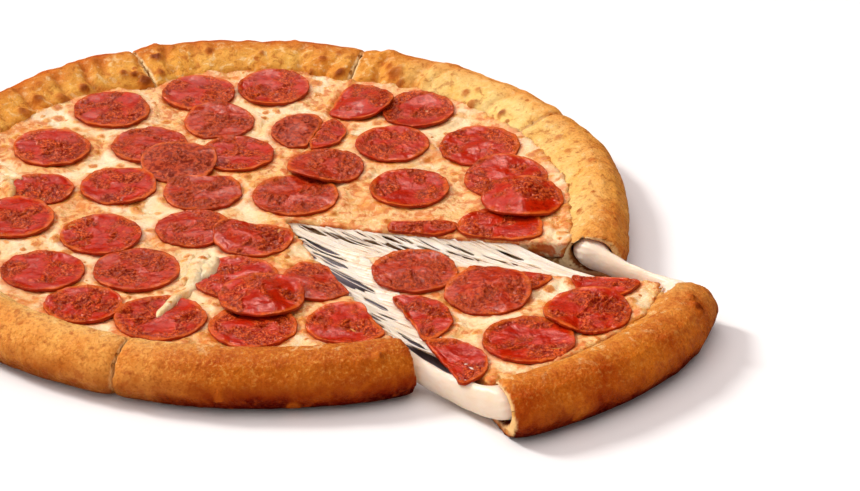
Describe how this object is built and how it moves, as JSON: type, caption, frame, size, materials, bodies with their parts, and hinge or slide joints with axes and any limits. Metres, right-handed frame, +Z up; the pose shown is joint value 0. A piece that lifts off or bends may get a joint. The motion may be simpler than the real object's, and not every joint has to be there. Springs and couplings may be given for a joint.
{
  "type": "stuffed crust pepperoni pizza",
  "caption": "Round sliced pizza with a cheese-filled crust and overlapping pepperoni, one slice pulled outward on strands of melted cheese.",
  "frame": {"origin": "centre of the round base, on the surface that the pizza lies on", "axes": "+Z up, out of the topping; the pulled slice lies towards +X and -Y"},
  "size_m": [0.3885, 0.3735, 0.0254],
  "materials": {
    "crust": "satin",
    "cheese": "satin",
    "melted_cheese": "glossy",
    "pepperoni": "glossy"
  },
  "bodies": {
    "root": {"crust_1": "crust", "crust_2": "crust", "crust_3": "crust", "crust_4": "crust", "crust_5": "crust", "crust_6": "crust", "crust_7": "crust", "crust_pulled_slice": "crust", "cheese_top": "cheese", "cheese_pulled_slice": "cheese", "crust_cheese": "melted_cheese", "cheese_strands": "melted_cheese", "pepperoni_01": "pepperoni", "pepperoni_02": "pepperoni", "pepperoni_03": "pepperoni", "pepperoni_04": "pepperoni", "pepperoni_05": "pepperoni", "pepperoni_06": "pepperoni", "pepperoni_07": "pepperoni", "pepperoni_08": "pepperoni", "pepperoni_09": "pepperoni", "pepperoni_10": "pepperoni", "pepperoni_11": "pepperoni", "pepperoni_12": "pepperoni", "pepperoni_13": "pepperoni", "pepperoni_15": "pepperoni", "pepperoni_16": "pepperoni", "pepperoni_17": "pepperoni", "pepperoni_18": "pepperoni", "pepperoni_19": "pepperoni", "pepperoni_20": "pepperoni", "pepperoni_21": "pepperoni", "pepperoni_22": "pepperoni", "pepperoni_23": "pepperoni", "pepperoni_24": "pepperoni", "pepperoni_25": "pepperoni", "pepperoni_26": "pepperoni", "pepperoni_27": "pepperoni", "pepperoni_28": "pepperoni", "pepperoni_29": "pepperoni", "pepperoni_30": "pepperoni", "pepperoni_31": "pepperoni", "pepperoni_32": "pepperoni", "pepperoni_33": "pepperoni", "pepperoni_34": "pepperoni", "pepperoni_35": "pepperoni", "pepperoni_36": "pepperoni", "pepperoni_37": "pepperoni", "pepperoni_38": "pepperoni", "pepperoni_40": "pepperoni", "pepperoni_41": "pepperoni", "pepperoni_42": "pepperoni", "pepperoni_43": "pepperoni", "pepperoni_44": "pepperoni", "pepperoni_45": "pepperoni", "pepperoni_46": "pepperoni", "pepperoni_47": "pepperoni"}
  },
  "joints": []
}
